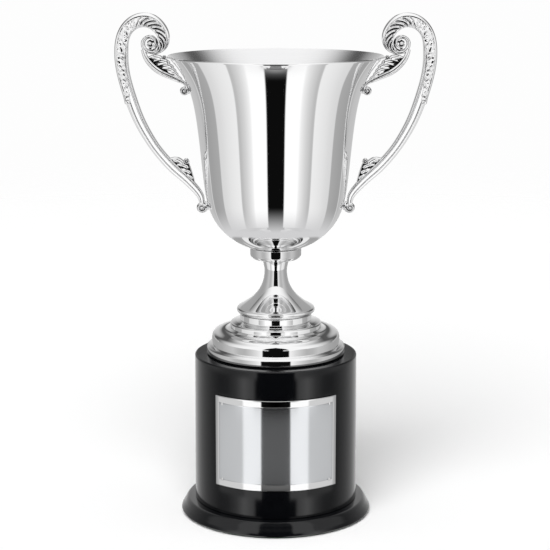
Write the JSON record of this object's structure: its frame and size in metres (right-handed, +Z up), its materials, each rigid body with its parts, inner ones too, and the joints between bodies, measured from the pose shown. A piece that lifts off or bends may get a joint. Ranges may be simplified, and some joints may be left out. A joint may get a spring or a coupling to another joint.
{
  "type": "cup trophy",
  "caption": "Silver two-handled presentation cup on a turned stem and foot, bolted to a round black plinth with a curved engraving plate.",
  "frame": {"origin": "centre of the felt underside, on the axis of the cup", "axes": "+Z up along the axis of the cup, X through both handles, -Y out of the front, where the engraving plate is"},
  "size_m": [0.2082, 0.1402, 0.3328],
  "materials": {
    "silver_plate": "mirror-polished silver plate on spun and cast brass",
    "plate_silver": "satin silver plate with a polished border",
    "steel": "bright zinc plated",
    "brass": "turned brass",
    "plinth_black": "satin-gloss black moulding",
    "felt": "dark green baize",
    "gasket": "matt black"
  },
  "bodies": {
    "trophy": {"bowl": "silver_plate", "left_handle": "silver_plate", "right_handle": "silver_plate", "handle_screw_1": "steel", "handle_screw_2": "steel", "handle_screw_3": "steel", "handle_screw_4": "steel", "handle_washer_1": "steel", "handle_washer_2": "steel", "handle_washer_3": "steel", "handle_washer_4": "steel", "collar": "silver_plate", "stem": "silver_plate", "foot": "silver_plate", "tie_rod": "steel", "bowl_washer": "steel", "bowl_nut": "brass", "foot_plate": "steel", "foot_nut": "steel", "foot_gasket": "gasket", "plinth_body": "plinth_black", "plinth_base": "plinth_black", "presentation_plate": "plate_silver", "plate_pin_1": "plate_silver", "plate_pin_2": "plate_silver", "plate_pin_3": "plate_silver", "plate_pin_4": "plate_silver", "base_screw_1": "steel", "base_screw_2": "steel", "base_screw_3": "steel", "base_screw_4": "steel", "base_felt": "felt"},
    "plinth_washer": {"plinth_washer": "steel"},
    "wing_nut": {"wing_nut": "brass"}
  },
  "joints": [
    {"name": "washer_drop", "type": "slide", "parent": "trophy", "child": "plinth_washer", "axis": [0, 0, -1], "range_m": [0, 0.0101]},
    {"name": "wing_nut_turn", "type": "hinge", "parent": "plinth_washer", "child": "wing_nut", "pos_m": [0, 0, 0.0982], "axis": [0, 0, -1], "range_deg": [0, 3600]}
  ],
  "couplings": [
    {"joint": "washer_drop", "follows": "wing_nut_turn", "m_per_rad": 0.00015915}
  ]
}
